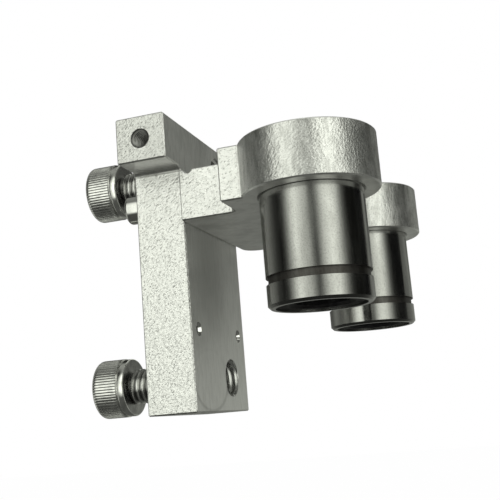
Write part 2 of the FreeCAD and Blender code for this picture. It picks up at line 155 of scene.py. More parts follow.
def stretched(tree, place, lengths, turn=(0.0, 0.0, 0.0)):
    """Coordinates in which lumps grow longer along the axes, and the axes are turned first."""
    inputs = {"Vector": place, "Scale": lengths, "Rotation": turn}
    return add_node(tree, "ShaderNodeMapping", inputs, vector_type="TEXTURE").outputs[0]


def blend(tree, amount, first, second):
    """A colour between two, each a colour of three numbers or another node's output."""
    colours = [(*value, 1.0) if isinstance(value, tuple) else value for value in (first, second)]
    inputs = {0: amount, 6: colours[0], 7: colours[1]}
    return add_node(tree, "ShaderNodeMix", inputs, data_type="RGBA").outputs[2]


def relief(tree, height, depth, below=None):
    """Dents of a real depth in metres, on top of those of another relief."""
    inputs = {"Height": height, "Distance": depth, "Strength": 1.0}
    if below is not None:
        inputs["Normal"] = below
    return add_node(tree, "ShaderNodeBump", inputs).outputs[0]


def new_material(name):
    """A material and its tree."""
    material = bpy.data.materials.new(name)
    material.use_nodes = True
    return material, material.node_tree


def new_finish(name, metallic):
    """A material with its tree, its shader and its coordinates."""
    material, tree = new_material(name)
    shader = tree.nodes["Principled BSDF"]
    shader.inputs["Metallic"].default_value = metallic
    return material, tree, shader, tree.nodes.new("ShaderNodeTexCoord").outputs


def dress(tree, shader, colour, roughness, normal):
    """Plug a finish's colour, roughness and relief into its shader."""
    tree.links.new(colour, shader.inputs["Base Color"])
    tree.links.new(roughness, shader.inputs["Roughness"])
    tree.links.new(normal, shader.inputs["Normal"])


print("finish helpers ready")

# %% [markdown]
# ## The studio
# Metal shows the room it stands in, so the room is half of the finish. The camera sees a plain white
# room, whose floor and overhead lamp make the shadow. A pale floor lit by the lamp would look grey
# beside the white room, so it glows by itself and keeps only a share of its shading.

# %% White room
WHITE = (1.0, 1.0, 1.0, 1.0)

world = bpy.data.worlds.new("white_room")
scene.world = world
world.use_nodes = True
room_light = world.node_tree.nodes["Background"]
room_light.inputs["Color"].default_value = WHITE
room_light.inputs["Strength"].default_value = 1.0
print(world.name)

# %% Floor
FLOOR_HEIGHT = -300 * MM
FLOOR_WIDTH = 12.0
SHADOW_SHARE = 0.15
PALE = (0.95, 0.95, 0.95, 1.0)

floor_paint, paint = new_material("pale_floor")
rays = paint.nodes.new("ShaderNodeLightPath").outputs
seen = calculate(paint, "MAXIMUM", rays["Is Camera Ray"], rays["Is Glossy Ray"])
seen = calculate(paint, "MAXIMUM", seen, rays["Is Transmission Ray"])
matt = add_node(paint, "ShaderNodeBsdfDiffuse", {"Color": PALE}).outputs[0]
glow = add_node(paint, "ShaderNodeEmission", {"Color": WHITE, "Strength": 1.0}).outputs[0]
share = times(paint, seen, 1 - SHADOW_SHARE)
top = add_node(paint, "ShaderNodeMixShader", {0: share, 1: matt, 2: glow}).outputs[0]
paint.links.new(top, paint.nodes["Material Output"].inputs["Surface"])


def stage_piece(name, shape, material):
    """A piece of the studio from a bmesh."""
    mesh = bpy.data.meshes.new(name)
    shape.to_mesh(mesh)
    shape.free()
    mesh.materials.append(material)
    piece = bpy.data.objects.new(name, mesh)
    scene.collection.objects.link(piece)
    return piece


floor_shape = bmesh.new()
floor_place = Matrix.Translation((0, 0, FLOOR_HEIGHT))
bmesh.ops.create_grid(floor_shape, size=FLOOR_WIDTH / 2, matrix=floor_place)
stage_piece("floor", floor_shape, floor_paint)
print(f"floor {-FLOOR_HEIGHT / MM:.0f} mm below the origin")

# %% Lamp
LAMP_HEIGHT = 0.9
LAMP_WIDTH = 0.6
LAMP_WATTS = 1.2

lamp = bpy.data.lights.new("overhead_softbox", "AREA")
lamp.size = LAMP_WIDTH
lamp.energy = LAMP_WATTS
overhead = bpy.data.objects.new("overhead_softbox", lamp)
scene.collection.objects.link(overhead)
overhead.location = (0, 0, LAMP_HEIGHT)
overhead.visible_camera = False
print(f"lamp {LAMP_HEIGHT / MM:.0f} mm above the origin")

# %% [markdown]
# ## The light tent
# In the picture each bearing carries two soft bright bands with a dark gap between them. Lamps and
# grey cards could give these bands, but a light tent is easier to set: one round cloth about the part
# that glows with a tone of its own in each direction. The camera looks through it. Round the part the
# tones are a list, in degrees from the camera's own direction to the viewer's right. Upwards, the
# front grows brighter and the back fades. The foot and the crown have tones of their own, and a pale
# strip low at both sides and a pale backdrop light the faces that look down.

# %% Tones of the tent
TENT_BRIGHTEST = 1.35
TENT_ROUND = {
    -180: 0.18, -145: 0.14, -128: 0.34, -112: 0.27, -95: 0.07, -77: 0.01, -68: 0.06, -58: 0.38,
    -47: 1.05, -40: 1.25, -32: 1.02, -13: 0.56, -6: 0.20, -1: 0.07, 4: 0.15,
    12: 0.55, 22: 1.05, 33: 1.35, 40: 1.35, 48: 0.95, 57: 0.42, 65: 0.12, 76: 0.01,
    102: 0.01, 109: 0.19, 132: 0.28, 142: 0.35, 155: 0.34, 180: 0.18,
}
TENT_FRONT = 1.36
TENT_UPPER = 1.60
TENT_BACK_LOW = 1.40
TENT_BACK_HIGH = 0.08
TENT_FOOT = 0.09
TENT_CROWN = 0.30
TENT_LOW_SIDES = 0.55
TENT_BACKDROP = 0.8
# Where those tones set in and are full, in degrees round from the camera or up from the level.
FRONT_ROUND = (80, 60)
FRONT_RISE = (12, 30)
BACK_ROUND = (138, 152)
BACK_RISE = (-4, 15)
FOOT_RISE = (-18, -38)
CROWN_RISE = (42, 60)
LOW_SIDES_RISE = (-4, -13)
LOW_SIDES_FOOT = (-42, -30)
LOW_SIDES_FRONT = (60, 76)
LOW_SIDES_BACK = (140, 122)
BACKDROP_RISE = (3, 9)
BACKDROP_ROUND = (156, 170)


def round_ramp(tree, bearing):
    """The tone round the part, from the list."""
    ramp = tree.nodes.new("ShaderNodeValToRGB")
    tree.links.new(calculate(tree, "MULTIPLY_ADD", bearing, 0.5 / math.pi, 0.5), ramp.inputs[0])
    stops = ramp.color_ramp.elements
    for number, (degrees, tone) in enumerate(TENT_ROUND.items()):
        position = (degrees + 180) / 360
        stop = stops[number] if number < 2 else stops.new(position)
        stop.position = position
        stop.color = (*[tone / TENT_BRIGHTEST] * 3, 1.0)
    return times(tree, ramp.outputs[0], TENT_BRIGHTEST)


def between(tree, angle, degrees, to_low=0.0, to_high=1.0):
    """A share that changes while an angle goes between two numbers of degrees."""
    start, end = degrees
    return remap(tree, angle, math.radians(start), math.radians(end), to_low, to_high)


def tent_tone(tree, bearing, rise):
    tone = round_ramp(tree, bearing)
    aside = size_of(tree, bearing)
    fading = between(tree, rise, BACK_RISE, TENT_BACK_LOW - 1, TENT_BACK_HIGH - 1)
    growing = between(tree, rise, FRONT_RISE, TENT_FRONT - 1, TENT_UPPER - 1)
    for degrees, change in ((BACK_ROUND, fading), (FRONT_ROUND, growing)):
        tone = times(tree, tone, add_share(tree, 1.0, between(tree, aside, degrees), change))
    for degrees, end_tone in ((FOOT_RISE, TENT_FOOT), (CROWN_RISE, TENT_CROWN)):
        change = calculate(tree, "SUBTRACT", end_tone, tone)
        tone = add_share(tree, tone, between(tree, rise, degrees), change)
    low_sides = between(tree, rise, LOW_SIDES_RISE, 0.0, TENT_LOW_SIDES)
    for angle, degrees in ((aside, LOW_SIDES_FRONT), (aside, LOW_SIDES_BACK), (rise, LOW_SIDES_FOOT)):
        low_sides = times(tree, low_sides, between(tree, angle, degrees))
    backdrop = between(tree, rise, BACKDROP_RISE, 0.0, TENT_BACKDROP)
    backdrop = times(tree, backdrop, between(tree, aside, BACKDROP_ROUND))
    for patch in (low_sides, backdrop):
        tone = calculate(tree, "MAXIMUM", tone, patch)
    return tone


print("tent tones:", len(TENT_ROUND))

# %% Light tent
TENT_RADIUS = 0.30
TENT_STEPS = 72
TENT_ROWS = 36
TENT_TINT = (0.97, 1.0, 0.90)
TOWARDS_CAMERA = math.atan2(CAMERA_PLACE.x, -CAMERA_PLACE.y)


def tent_cloth():
    material, tree = new_material("tent_cloth")
    place = tree.nodes.new("ShaderNodeTexCoord").outputs["Object"]
    where = axes_of(tree, stretched(tree, place, (1.0, 1.0, 1.0), (0.0, 0.0, TOWARDS_CAMERA)))
    bearing = calculate(tree, "ARCTAN2", where["X"], times(tree, where["Y"], -1.0))
    rise = calculate(tree, "ARCSINE", calculate(tree, "DIVIDE", where["Z"], TENT_RADIUS))
    inputs = {"Color": (*TENT_TINT, 1.0), "Strength": tent_tone(tree, bearing, rise)}
    cloth = add_node(tree, "ShaderNodeEmission", inputs).outputs[0]
    tree.links.new(cloth, tree.nodes["Material Output"].inputs["Surface"])
    return material


def reflected_only(piece):
    """Keep a piece out of the picture and its shadows, so that only the metal sees it."""
    piece.visible_camera = False
    piece.visible_shadow = False
    piece.visible_diffuse = False


tent_shape = bmesh.new()
bmesh.ops.create_uvsphere(tent_shape, u_segments=TENT_STEPS, v_segments=TENT_ROWS, radius=TENT_RADIUS)
reflected_only(stage_piece("light_tent", tent_shape, tent_cloth()))
print(f"tent {2 * TENT_RADIUS / MM:.0f} mm across")

# %% [markdown]
# ## The black card
# The right side of each bearing is nearly black, and the edge of that black falls at another place on
# the near bearing than on the far one. A tone of the tent can't do that: the tent is so far away that
# both bearings see it alike. Each sees a close card in another direction, so one black card does it.

# %% Black card
CARD_FRONT = (66.5 * MM, 28.6 * MM)
CARD_BACK = (52.7 * MM, 61.2 * MM)
CARD_HEIGHTS = (-40 * MM, 70 * MM)
CARD_BLACK = (0.01, 0.01, 0.01, 1.0)

card_paper, paper = new_material("black_card")
black = add_node(paper, "ShaderNodeBsdfDiffuse", {"Color": CARD_BLACK}).outputs[0]
paper.links.new(black, paper.nodes["Material Output"].inputs["Surface"])
card_shape = bmesh.new()
foot, head = CARD_HEIGHTS
corners = [(*CARD_FRONT, foot), (*CARD_BACK, foot), (*CARD_BACK, head), (*CARD_FRONT, head)]
card_shape.faces.new([card_shape.verts.new(corner) for corner in corners])
card = stage_piece("black_card", card_shape, card_paper)
reflected_only(card)
print("black card:", [round(side / MM) for side in card.dimensions], "mm")

# %% [markdown]
# ## Kinds of face on the aluminium
# Plate and yoke are milled and then blasted with grit, and each kind of face came out differently.
# Some kinds also get painted shade, and one a painted reflection.
# The kinds could be painted by hand, but they follow from the way that a point's face looks, its
# normal, and from where the point lies: broad faces of the plate, faces that look sideways, round
# rings, undersides, fillets, the end of the bar, and the clean walls of the drilled holes.

# %% Kinds of face
plate_low, plate_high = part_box("carriage_plate")
yoke_low, yoke_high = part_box("bearing_yoke")
side_holes = mounts["side_holes"]
side_hole_y = side_holes["pos_m"][1]
half_spacing = side_holes["dims"]["spacing_x_mm"] * MM / 2

PLATE_SKIN = 0.05 * MM
HOLE_ROOM = 2.5 * MM
FOOT_ROOM = 1.0 * MM
hole_reach = half_spacing + HOLE_ROOM
DRILLED_LOW = (plate_low.x + PLATE_SKIN, side_hole_y - hole_reach, plate_low.z + FOOT_ROOM)
DRILLED_HIGH = (plate_high.x - PLATE_SKIN, side_hole_y + hole_reach, yoke_high.z)
# The near ring stands round the origin, so it reaches as far along X as along Y.
RINGS_START = yoke_low.y + 0.5 * MM
BAR_END_DEPTH = 0.3 * MM
# How far a normal points along an axis where a kind of face sets in and is full.
SQUARE_ON = (0.90, 0.99)
LEVEL = (0.15, 0.6)
FILLET_TURN = (0.10, 0.35)


def face_kinds(tree, across, where):
    """How far a point belongs to each kind of face, as shares from 0 to 1."""
    inside = [
        calculate(tree, "COMPARE", where[axis], (low + high) / 2, (high - low) / 2)
        for axis, low, high in zip("XYZ", DRILLED_LOW, DRILLED_HIGH)
    ]
    drilled = times(tree, *inside)
    flat = calculate(tree, "SUBTRACT", calculate(tree, "LESS_THAN", where["X"], RINGS_START), drilled)
    broad = times(tree, flat, remap(tree, size_of(tree, across["X"]), *SQUARE_ON))
    edge_on = times(tree, flat, remap(tree, size_of(tree, across["Y"]), *SQUARE_ON))
    not_round = drilled
    for share in (edge_on, broad, remap(tree, size_of(tree, across["Z"]), *LEVEL)):
        not_round = calculate(tree, "MAXIMUM", not_round, share)
    corner = size_of(tree, times(tree, across["Y"], across["Z"]))
    bar_end = calculate(tree, "COMPARE", where["Y"], plate_low.y, BAR_END_DEPTH)
    return {
        "drilled": drilled,
        "broad": broad,
        "bearing_side": times(tree, broad, calculate(tree, "GREATER_THAN", across["X"], 0.0)),
        "edge_on": edge_on,
        "bar_end": times(tree, bar_end, edge_on),
        "underside": remap(tree, across["Z"], -LEVEL[0], -LEVEL[1]),
        "rounded": calculate(tree, "SUBTRACT", 1.0, not_round),
        "fillet": times(tree, flat, remap(tree, corner, *FILLET_TURN)),
    }


print(f"rings start at X {RINGS_START / MM:.1f} mm")

# %% [markdown]
# ## Patterns and colour of the aluminium
# On the faces that look sideways the grit has left pits and dents a quarter of a millimetre across, in
# short slanting dashes that are darker towards the top. The broad faces keep fine upright lines from
# rolling, and the round rings keep a fine grain and upright smears, most of all at their top. Stains
# and painted shade darken the undersides, and the plate has a painted reflection of a bearing and a
# ring mark. All of this could be drawn as images, but noise in object coordinates needs no unwrapping
# and has no seams.

# %% Aluminium patterns
GRIT_DENT = 0.25 * MM
GRIT_LENGTHS = (1.0, 1.0, 2.0)
SLANT = math.radians(60)
PEEL_DENT = 1.2 * MM
ROLL_WIDTH = 0.16 * MM
ROLL_LENGTHS = (1.6, 1.0, 33.0)
SMEAR_WIDTH = 0.9 * MM
SMEAR_LENGTHS = (1.0, 1.0, 3.5)
CLOUD_WIDTH = 6.0 * MM
STAIN_WIDTH = 4.0 * MM
RING_GRAIN = 0.20 * MM


def aluminium_patterns(tree, place):
    slanted = stretched(tree, place, GRIT_LENGTHS, (0.0, SLANT, 0.0))
    rolled = stretched(tree, place, ROLL_LENGTHS)
    smeared = stretched(tree, place, SMEAR_LENGTHS)
    return {
        "grit": noise(tree, slanted, GRIT_DENT, detail=1.5),
        "peel": noise(tree, slanted, PEEL_DENT),
        "rolled": noise(tree, rolled, ROLL_WIDTH, roughness=0.6),
        "smears": noise(tree, smeared, SMEAR_WIDTH, detail=4.0, roughness=0.65),
        "clouds": noise(tree, place, CLOUD_WIDTH, detail=3.0, roughness=0.55),
        "stains": noise(tree, place, STAIN_WIDTH, detail=4.0, roughness=0.65),
        "grain": noise(tree, place, RING_GRAIN, roughness=0.6),
    }


print("aluminium patterns ready")

# %% Aluminium darkened by painted shade, a painted reflection and stains
ALUMINIUM_BRIGHT = (0.92, 0.92, 0.91)
ALUMINIUM_DULL = (0.84, 0.84, 0.83)
ALUMINIUM_SHADE_AND_STAIN = (0.42, 0.42, 0.41)
# The rings get painted shade in front, and none where their normal has turned this far along X.
RING_FRONT_SHADE = 0.38
RING_SHADE_SIDES = (0.45, 0.85)
# Painted shade darkens the broad faces.
BROAD_PAINTED_SHADE = 0.20
# The end of the bar is darker.
BAR_END_DARKER = 0.42
# Painted shade darkens the fillets in the inner corners.
FILLET_SHADE = 0.40
# A name with WHERE gives the noise at which a mark sets in and is full.
STAINS_WHERE = (0.38, 0.62)
# The undersides get painted shade everywhere, and stains make it mottled.
UNDERSIDE_SHADE_AND_STAINS = (0.60, 0.30)
# A painted dark reflection of a bearing's sleeve lies on the plate's face that looks at the bearings.
REFLECTION_MIDDLE = (14.5 * MM, -3.0 * MM)
REFLECTION_HALF = (9.0 * MM, 13.0 * MM)
REFLECTION_SOFTNESS = (1.0, 0.2)
REFLECTION_DARK = 0.40


def from_middle(tree, where, middle, half):
    """How far out a point on the broad face lies, as a share of an ellipse's half sizes."""
    squares = 0.0
    for axis, centre, reach in zip("YZ", middle, half):
        out = calculate(tree, "DIVIDE", calculate(tree, "SUBTRACT", where[axis], centre), reach)
        squares = add_share(tree, squares, out, out)
    return calculate(tree, "SQRT", squares)


def aluminium_shade_and_stains(tree, across, where, faces, patterns):
    """How far painted shade, a painted reflection, stains and a darker bar end dim the metal, added up
    over the kinds of face.
    """
    ring_front_shade = remap(tree, size_of(tree, across["X"]), *RING_SHADE_SIDES, RING_FRONT_SHADE, 0.0)
    stains = remap(tree, patterns["stains"], *STAINS_WHERE, *UNDERSIDE_SHADE_AND_STAINS)
    from_reflection = from_middle(tree, where, REFLECTION_MIDDLE, REFLECTION_HALF)
    painted_reflection = remap(tree, from_reflection, *REFLECTION_SOFTNESS, 0.0, REFLECTION_DARK)
    shade_and_stains = times(tree, faces["rounded"], ring_front_shade)
    # Broad faces, fillets and undersides get painted shade, and the plate's bearing side a painted
    # reflection.
    amounts = {"broad": BROAD_PAINTED_SHADE, "underside": stains, "bar_end": BAR_END_DARKER,
               "bearing_side": painted_reflection, "fillet": FILLET_SHADE}
    for kind, amount in amounts.items():
        shade_and_stains = add_share(tree, shade_and_stains, faces[kind], amount)
    return shade_and_stains


print(f"smudge {2 * REFLECTION_HALF[0] / MM:.0f} mm wide on the plate")

# %% Dark marks on the aluminium
ALUMINIUM_PIT = (0.30, 0.30, 0.29)
PITS_WHERE = (0.44, 0.30)
PITS_ANYWHERE = 0.06
SIDE_PITS = (0.34, 0.58)
SIDE_PITS_HEIGHTS = (-16 * MM, 6 * MM)
RING_PITS = 0.06
# The fillets' many dark pits are partly grit and partly painted shade in the corner.
FILLET_PITS_AND_SHADE = 0.60
LINES_WHERE = (0.5, 0.3)
LINES_DARK = 0.22
SMEARS_WHERE = (0.58, 0.38)
SMEARS_DARK = 0.40
BROAD_SMEARS = 0.3
TOP_SMEARS = 1.7
TOP_SMEARS_HEIGHTS = (yoke_high.z - 3.0 * MM, yoke_high.z + 0.5 * MM)
SPECKS_WHERE = (0.47, 0.33)
SPECKS_DARK = 0.48
RING_MARK_MIDDLE = (11.6 * MM, -20.0 * MM)
RING_MARK_HALF = (7.2 * MM, 4.8 * MM)
RING_MARK_SOFTNESS = (0.09, 0.01)
RING_MARK_DARK = 0.34
RING_MARK_HEIGHTS = (-18 * MM, -22 * MM)
RING_MARK_FADE = 0.15


def ring_mark(tree, where):
    """The ring that something round has left on the plate, fainter towards its top."""
    out = from_middle(tree, where, RING_MARK_MIDDLE, RING_MARK_HALF)
    from_line = calculate(tree, "SUBTRACT", out, 1.0)
    mark = remap(tree, size_of(tree, from_line), *RING_MARK_SOFTNESS, 0.0, RING_MARK_DARK)
    return times(tree, mark, remap(tree, where["Z"], *RING_MARK_HEIGHTS, RING_MARK_FADE, 1.0))


def aluminium_marks(tree, where, faces, patterns):
    """Shares of the dark marks, in the order in which they cover each other."""
    side_pits = remap(tree, where["Z"], *SIDE_PITS_HEIGHTS, *SIDE_PITS)
    pits = PITS_ANYWHERE
    for kind, amount in (("edge_on", side_pits), ("rounded", RING_PITS), ("fillet", FILLET_PITS_AND_SHADE)):
        pits = add_share(tree, pits, faces[kind], amount)
    smears = add_share(tree, faces["rounded"], faces["broad"], BROAD_SMEARS)
    top_smears = remap(tree, where["Z"], *TOP_SMEARS_HEIGHTS, 1.0, TOP_SMEARS)
    return [
        times(tree, pits, remap(tree, patterns["grit"], *PITS_WHERE)),
        times(tree, faces["broad"], remap(tree, patterns["rolled"], *LINES_WHERE, 0.0, LINES_DARK)),
        times(tree, smears, remap(tree, patterns["smears"], *SMEARS_WHERE, 0.0, SMEARS_DARK), top_smears),
        times(tree, faces["rounded"], remap(tree, patterns["grain"], *SPECKS_WHERE, 0.0, SPECKS_DARK)),
        times(tree, ring_mark(tree, where), faces["bearing_side"]),
    ]


print("dark marks ready")

# %% [markdown]
# ## The whole aluminium finish
# Painted shade, a painted reflection, stains and dark marks cover the bright metal one after another,
# and the drilled walls stay clean. The roughness says how wide the reflections spread: blasted faces
# spread them most, drilled walls least, and the rings are a little smoother in front than at their
# sides. The dents are real depths in millimetres that only tilt the light, because they are too fine to
# be worth meshing.

# %% Aluminium finish
GRIT_DEPTH = 0.18 * MM
PEEL_DEPTH = 0.09 * MM
ROLL_DEPTH = 0.004 * MM
RING_GRAIN_DEPTH = 0.03 * MM
GRIT_ANYWHERE = 0.06
GRIT_ON_RINGS = 0.30
GRIT_ON_SIDES = 0.66
CLOUDS_WHERE = (0.35, 0.7)
ROUGHNESS = (0.34, 0.42)
SIDES_ROUGHER = 0.02
DRILLED_ROUGHER = -0.22
RINGS_FRONT = (0.40, 0.80)
RINGS_ROUGHER = (-0.06, 0.03)


def blasted_aluminium():
    material, tree, shader, coordinates = new_finish("blasted_aluminium", 1.0)
    across = axes_of(tree, coordinates["Normal"])
    where = axes_of(tree, coordinates["Object"])
    faces = face_kinds(tree, across, where)
    patterns = aluminium_patterns(tree, coordinates["Object"])

    colour = blend(tree, remap(tree, patterns["clouds"], *CLOUDS_WHERE), ALUMINIUM_DULL, ALUMINIUM_BRIGHT)
    colour = blend(tree, aluminium_shade_and_stains(tree, across, where, faces, patterns), colour, ALUMINIUM_SHADE_AND_STAIN)
    for mark in aluminium_marks(tree, where, faces, patterns):
        colour = blend(tree, mark, colour, ALUMINIUM_PIT)
    colour = blend(tree, faces["drilled"], colour, ALUMINIUM_BRIGHT)

    ring_rougher = remap(tree, size_of(tree, across["X"]), *RINGS_FRONT, *RINGS_ROUGHER)
    roughness = remap(tree, patterns["clouds"], *NOISE_SPREAD, *ROUGHNESS)
    rougher = {"edge_on": SIDES_ROUGHER, "drilled": DRILLED_ROUGHER, "rounded": ring_rougher}
    for kind, amount in rougher.items():
        roughness = add_share(tree, roughness, faces[kind], amount)

    grit_share = add_share(tree, GRIT_ANYWHERE, faces["rounded"], GRIT_ON_RINGS)
    grit_share = add_share(tree, grit_share, faces["edge_on"], GRIT_ON_SIDES)
    dents = None
    for pattern, share, depth in (
        ("peel", faces["edge_on"], PEEL_DEPTH),
        ("grit", grit_share, GRIT_DEPTH),
        ("grain", faces["rounded"], RING_GRAIN_DEPTH),
        ("rolled", faces["broad"], ROLL_DEPTH),
    ):
        dents = relief(tree, times(tree, patterns[pattern], share), depth, dents)
    dress(tree, shader, colour, roughness, dents)
    return material


aluminium = blasted_aluminium()
print(aluminium.name, len(aluminium.node_tree.nodes), "nodes")

# %% [markdown]
# ## Bearing steel
# Sleeves, balls and side rings are hardened and ground, and the sleeves are pressed into the yoke.
# Handling leaves faint smears and specks, and pressing leaves upright streaks too fine to see one by
# one, so the roughness carries most of the finish. Oil, dust and painted shade turn the floor of each
# groove dark brown and dull, and a painted dark reflection darkens the sleeves' end faces.

# %% Steel finish
STEEL_BRIGHT = (0.42, 0.42, 0.41)
STEEL_DULL = (0.34, 0.34, 0.33)
STEEL_SPECK = (0.18, 0.18, 0.175)
STEEL_SMEAR_WIDTH = 2.2 * MM
STEEL_SMEAR_LENGTHS = (1.0, 1.0, 2.9)
STEEL_ROUGHNESS = (0.20, 0.10)
STREAK_WIDTH = 0.35 * MM
STREAK_LENGTHS = (1.0, 1.0, 20.0)
STREAK_DEPTH = 0.0006 * MM
STREAKS_WHERE = (0.35, 0.65)
STREAKS_ROUGHER = 0.05
STEEL_SPECK_WIDTH = 0.22 * MM
STEEL_SPECKS_WHERE = (0.55, 0.30)
STEEL_SPECKS_DARK = 0.26
GROOVE_MIDDLE = 8.2 * MM
GROOVE_HALF = 0.6 * MM
# Oil, dust and painted shade darken the floor of each groove.
GROOVE_GRIME_AND_SHADE = (0.022, 0.017, 0.014)
GROOVE_SMEARS_WHERE = (0.25, 0.75)
GROOVE_COVER = (0.70, 1.0)
GROOVE_ROUGHER = 0.3
END_CHAMFER = 0.6 * MM
END_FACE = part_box("near_sleeve")[1].z - END_CHAMFER
END_ON = (0.3, 0.9)
# A painted dark reflection covers the sleeves' end faces.
END_DARK_REFLECTION = (0.07, 0.07, 0.068)


def bearing_steel():
    material, tree, shader, coordinates = new_finish("ground_steel", 1.0)
    place = coordinates["Object"]
    smeared = stretched(tree, place, STEEL_SMEAR_LENGTHS)
    smears = noise(tree, smeared, STEEL_SMEAR_WIDTH, detail=4.0, roughness=0.6)
    streaks = noise(tree, stretched(tree, place, STREAK_LENGTHS), STREAK_WIDTH)
    specks = noise(tree, place, STEEL_SPECK_WIDTH)
    height = size_of(tree, axes_of(tree, place)["Z"])
    from_groove = size_of(tree, calculate(tree, "SUBTRACT", height, GROOVE_MIDDLE))
    in_groove = calculate(tree, "LESS_THAN", from_groove, GROOVE_HALF)
    # Grime and painted shade fill the groove.
    grime_and_shade = times(tree, in_groove, remap(tree, smears, *GROOVE_SMEARS_WHERE, *GROOVE_COVER))
    end_on = remap(tree, size_of(tree, axes_of(tree, coordinates["Normal"])["Z"]), *END_ON)
    # Painted dark reflection on the end faces.
    end_reflection = times(tree, calculate(tree, "GREATER_THAN", height, END_FACE), end_on)

    colour = blend(tree, remap(tree, smears, *NOISE_SPREAD), STEEL_DULL, STEEL_BRIGHT)
    speck = remap(tree, specks, *STEEL_SPECKS_WHERE, 0.0, STEEL_SPECKS_DARK)
    for share, cover in ((speck, STEEL_SPECK), (grime_and_shade, GROOVE_GRIME_AND_SHADE), (end_reflection, END_DARK_REFLECTION)):
        colour = blend(tree, share, colour, cover)
    roughness = remap(tree, smears, *NOISE_SPREAD, *STEEL_ROUGHNESS)
    rougher = remap(tree, streaks, *STREAKS_WHERE, 0.0, STREAKS_ROUGHER)
    roughness = calculate(tree, "ADD", roughness, rougher)
    roughness = add_share(tree, roughness, grime_and_shade, GROOVE_ROUGHER)
    dress(tree, shader, colour, roughness, relief(tree, streaks, STREAK_DEPTH))
    return material


steel = bearing_steel()
print(steel.name, len(steel.node_tree.nodes), "nodes")

# %% [markdown]
# ## Screw steel, rubber and plastic
# The screws are stainless. The clamp screws are bright where hands touch them, and dark with grime and
# painted shade in the bottom of the knurl and the thread, which their meshes mark with an attribute.
# The threads in the holes take the same recipe with other tones: darker in the small holes, and the
# plate's own clean aluminium with painted shade in the roots in the large ones. Seals are black rubber
# with a dusty bloom, and cages are smoother black plastic.

# %% Screw finishes
SCREW_BRIGHT = (0.93, 0.93, 0.91)
SCREW_DARK = (0.64, 0.64, 0.63)
# Grime and painted shade in the hollows of the knurl and the thread.
SCREW_GRIME_AND_SHADE = (0.05, 0.05, 0.048)
SMALL_BRIGHT = (0.66, 0.66, 0.65)
SMALL_DARK = (0.54, 0.54, 0.53)
# Darker tones for the threads in the small holes and in the bar's hole.
CUT_THREAD_BRIGHT = (0.50, 0.50, 0.49)
CUT_THREAD_DARK = (0.36, 0.36, 0.35)
# Painted shade in the roots of the threads in the large holes, whose aluminium is clean.
CLEAN_HOLE_SHADE = (0.5, 0.5, 0.49)
SCREW_SMEAR_WIDTH = 1.4 * MM
SCUFF_WIDTH = 0.18 * MM
SCUFF_DEPTH = 0.0015 * MM


def screw_steel(name, bright, dark, grime_and_shade, smooth, rough, dulling=0.2):
    """Steel between two tones and two roughnesses, with grime and painted shade in its hollows that dull
    it.
    """
    material, tree, shader, coordinates = new_finish(name, 1.0)
    place = coordinates["Object"]
    smears = noise(tree, place, SCREW_SMEAR_WIDTH, detail=4.0, roughness=0.6)
    scuffs = noise(tree, place, SCUFF_WIDTH)
    hollow = add_node(tree, "ShaderNodeAttribute", attribute_name="hollow").outputs["Fac"]
    colour = blend(tree, remap(tree, smears, *NOISE_SPREAD), dark, bright)
    # Grime and painted shade in the hollows.
    colour = blend(tree, hollow, colour, grime_and_shade)
    roughness = remap(tree, smears, *NOISE_SPREAD, rough, smooth)
    roughness = add_share(tree, roughness, hollow, dulling)
    dress(tree, shader, colour, roughness, relief(tree, scuffs, SCUFF_DEPTH))
    return material


clamp_steel = screw_steel("dark_stainless", SCREW_BRIGHT, SCREW_DARK, SCREW_GRIME_AND_SHADE,
                          smooth=0.09, rough=0.19)
small_steel = screw_steel("bright_stainless", SMALL_BRIGHT, SMALL_DARK, SCREW_GRIME_AND_SHADE,
                          smooth=0.07, rough=0.15)
cut_thread = screw_steel("oily_cut_thread", CUT_THREAD_BRIGHT, CUT_THREAD_DARK, SCREW_GRIME_AND_SHADE,
                         smooth=0.20, rough=0.34)
bright_thread = screw_steel("bright_cut_thread", ALUMINIUM_BRIGHT, ALUMINIUM_DULL, CLEAN_HOLE_SHADE,
                            smooth=0.10, rough=0.18, dulling=0.25)
print(clamp_steel.name, small_steel.name, cut_thread.name, bright_thread.name)

# %% Rubber and plastic finishes
RUBBER_BLACK = (0.003, 0.003, 0.003)
RUBBER_BLOOM = (0.012, 0.012, 0.0115)
PLASTIC_BLACK = (0.005, 0.005, 0.005)
PLASTIC_BLOOM = (0.010, 0.010, 0.010)
DUST_WIDTH = 0.8 * MM
DUST_WHERE = (0.4, 0.75)
SKIN_SPECKS_WHERE = (0.62, 0.75)
SKIN_SPECKS_COVER = 0.5


def black_matt(name, grain, depth, black, bloom, smooth, rough, gloss):
    """A black skin with grain of a real size and depth, dusted with a paler bloom."""
    material, tree, shader, coordinates = new_finish(name, 0.0)
    shader.inputs["Specular IOR Level"].default_value = gloss
    dust = noise(tree, coordinates["Object"], DUST_WIDTH, detail=4.0, roughness=0.65)
    skin = noise(tree, coordinates["Object"], grain, detail=3.0, roughness=0.6)
    speck = times(tree, remap(tree, skin, *SKIN_SPECKS_WHERE), SKIN_SPECKS_COVER)
    colour = blend(tree, remap(tree, dust, *DUST_WHERE), black, bloom)
    colour = blend(tree, speck, colour, bloom)
    roughness = remap(tree, dust, *NOISE_SPREAD, smooth, rough)
    dress(tree, shader, colour, roughness, relief(tree, skin, depth))
    return material


rubber = black_matt("black_rubber", grain=0.16 * MM, depth=0.012 * MM, black=RUBBER_BLACK,
                    bloom=RUBBER_BLOOM, smooth=0.45, rough=0.65, gloss=0.06)
plastic = black_matt("black_plastic", grain=0.3 * MM, depth=0.004 * MM, black=PLASTIC_BLACK,
                     bloom=PLASTIC_BLOOM, smooth=0.32, rough=0.45, gloss=0.2)
print(rubber.name, plastic.name)

